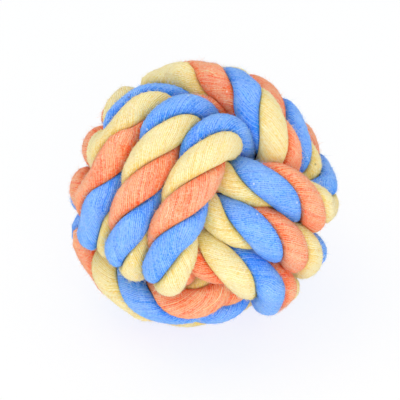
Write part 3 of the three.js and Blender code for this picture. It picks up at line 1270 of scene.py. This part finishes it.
@dataclass
class Studio:
    """A white floor, soft light and the camera, about the ball's middle."""

    centre: np.ndarray
    azimuth: float = 0.5
    elevation: float = 38.2
    roll: float = -0.5
    distance: float = 0.42
    pixels_per_mm: float = 3.89
    ball_pixel: tuple[float, float] = (202.1, 198.2)
    sensor: float = 36.0
    floor_size: float = 12.0
    floor_fade: tuple[float, float] = (0.15, 0.5)
    floor_light: float = 1.17
    floor_glow: tuple[float, float, float] = (0.75, 0.8, 0.96)
    floor_matt: tuple[float, float, float] = (0.9, 0.9, 0.92)
    sky: float = 0.95
    sky_colour: tuple[float, float, float] = (0.96, 0.98, 1.0)
    lamps: tuple[SoftLamp, ...] = (
        SoftLamp("key_light", place=(-0.28, 0.0, 0.68), size=0.5, power=1.2),
        SoftLamp("fill_light", place=(0.1, -0.62, 0.2), size=0.5, power=2.2),
    )

    def build(self) -> None:
        """Make the camera, the floor and the lights."""
        self.camera()
        self.floor()
        self.world()
        for lamp in self.lamps:
            self.hang(lamp)
        bpy.context.scene.view_settings.view_transform = "Standard"

    def camera(self) -> None:
        """Set the camera at the photograph's viewing angle."""
        turn, tilt, roll = (math.radians(angle) for angle in (self.azimuth, self.elevation, self.roll))
        level = Vector((math.cos(turn), math.sin(turn), 0))
        away = Vector((math.sin(turn), -math.cos(turn), 0))
        back = away * math.cos(tilt) + Vector((0, 0, math.sin(tilt)))
        right = level * math.cos(roll) + back.cross(level) * math.sin(roll)
        lens = bpy.data.cameras.new("camera")
        lens.sensor_width = self.sensor
        lens.lens = self.sensor * self.distance * self.pixels_per_mm / MM / PHOTO_PIXELS
        lens.shift_x = (PHOTO_PIXELS / 2 - self.ball_pixel[0]) / PHOTO_PIXELS
        lens.shift_y = (self.ball_pixel[1] - PHOTO_PIXELS / 2) / PHOTO_PIXELS
        made = add_object("camera", lens)
        place = Matrix((right, back.cross(right), back)).transposed().to_4x4()
        place.translation = Vector(self.centre * MM) + back * self.distance
        made.matrix_world = place
        bpy.context.scene.camera = made

    def floor(self) -> None:
        """Lay a plain pale floor that keeps the ball's soft shadow."""
        half = self.floor_size / 2
        mesh = bpy.data.meshes.new("floor")
        corners = [(-half, -half, 0), (half, -half, 0), (half, half, 0), (-half, half, 0)]
        mesh.from_pydata(corners, [], [(0, 1, 2, 3)])
        material = bpy.data.materials.new("white_floor")
        desk = NodeDesk(material)
        lit = [(1 - part) / self.floor_light for part in self.floor_glow]
        matt = desk.add("ShaderNodeBsdfDiffuse", {"Color": (*self.floor_matt, 1)})
        glow = desk.add("ShaderNodeEmission", {"Color": (*self.floor_glow, 1)})
        shade = desk.add("ShaderNodeBsdfDiffuse", {"Color": (*lit, 1)})
        near = desk.add("ShaderNodeAddShader", {0: glow.outputs[0], 1: shade.outputs[0]})
        white = desk.mix(self.away(desk), near, desk.add("ShaderNodeEmission"))
        desk.output(desk.mix(self.seen(desk), matt, white))
        mesh.materials.append(material)
        add_object("floor", mesh)

    def away(self, desk: NodeDesk) -> Socket:
        """Tell how far a point of the floor lies from the ball.

        Args:
            desk: the floor's nodes.

        Returns:
            0 near the ball, where the floor keeps its shadow, and 1 where the floor is plain white.
        """
        where = desk.add("ShaderNodeTexCoord").outputs["Object"]
        distance = desk.add("ShaderNodeVectorMath", {0: where}, operation="LENGTH").outputs["Value"]
        start, end = self.floor_fade
        feeds = {"Value": distance, "From Min": start, "From Max": end}
        return desk.add("ShaderNodeMapRange", feeds, interpolation_type="SMOOTHSTEP").outputs[0]

    def seen(self, desk: NodeDesk) -> Socket:
        """Tell rays that show the background from rays that gather light.

        Args:
            desk: the nodes of the floor or of the world.

        Returns:
            1 for a ray that shows the background, and 0 for one that gathers light.
        """
        path = desk.add("ShaderNodeLightPath").outputs
        seen = desk.math("MAXIMUM", path["Is Camera Ray"], path["Is Glossy Ray"])
        return desk.math("MAXIMUM", seen, path["Is Transmission Ray"])

    def world(self) -> None:
        """Light the scene softly from all round, on a white background."""
        world = bpy.data.worlds.new("studio")
        bpy.context.scene.world = world
        desk = NodeDesk(world)
        soft = desk.add("ShaderNodeBackground", {"Color": (*self.sky_colour, 1), "Strength": self.sky})
        white = desk.add("ShaderNodeBackground", {"Color": (1, 1, 1, 1)})
        desk.output(desk.mix(self.seen(desk), soft, white), "ShaderNodeOutputWorld")

    def hang(self, lamp: SoftLamp) -> None:
        """Hang a soft lamp so that it looks at the ball.

        Args:
            lamp: the lamp.
        """
        light = bpy.data.lights.new(lamp.name, "AREA")
        light.size = lamp.size
        light.energy = lamp.power
        place = Vector(lamp.place)
        made = add_object(lamp.name, light)
        made.location = Vector(self.centre * MM) + place
        made.rotation_euler = (-place).to_track_quat("-Z", "Y").to_euler()


def ball_centre(knot: BallKnot) -> np.ndarray:
    """Where the frame has the ball's middle, found from the start whipping's own place.

    Args:
        knot: the knot's route.

    Returns:
        The middle, in millimetres.
    """
    low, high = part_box("start_whipping")
    near, far = knot.whipping_ends(True)
    return np.array((low + high) / 2) / MM - (near + far) / 2


def main() -> None:
    """Load the frame, build the ball and the studio, and note the sizes."""
    logging.basicConfig(level=logging.INFO, format="%(name)s: %(message)s")
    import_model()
    knot = BallKnot()
    centre = ball_centre(knot)
    LOG.info("rope %.0f mm long, ball's middle %s mm", knot.length, np.round(centre, 2))
    Studio(centre).build()
    strands = {dye: CottonStrand(knot, dye, centre) for dye in Dye}
    made = [strand.build() for strand in strands.values()]
    made += [Fuzz(strand).build() for strand in strands.values()]
    for number, thread in enumerate(LOOSE_THREADS, 1):
        made.append(thread.build(f"loose_thread_{number}", strands[thread.dye]))
    made += [Whipping(knot, centre, at_start).build() for at_start in (True, False)]
    for piece in made:
        LOG.info("%s: %d faces", piece.name, len(piece.data.polygons))


if __name__ == "__main__":
    main()
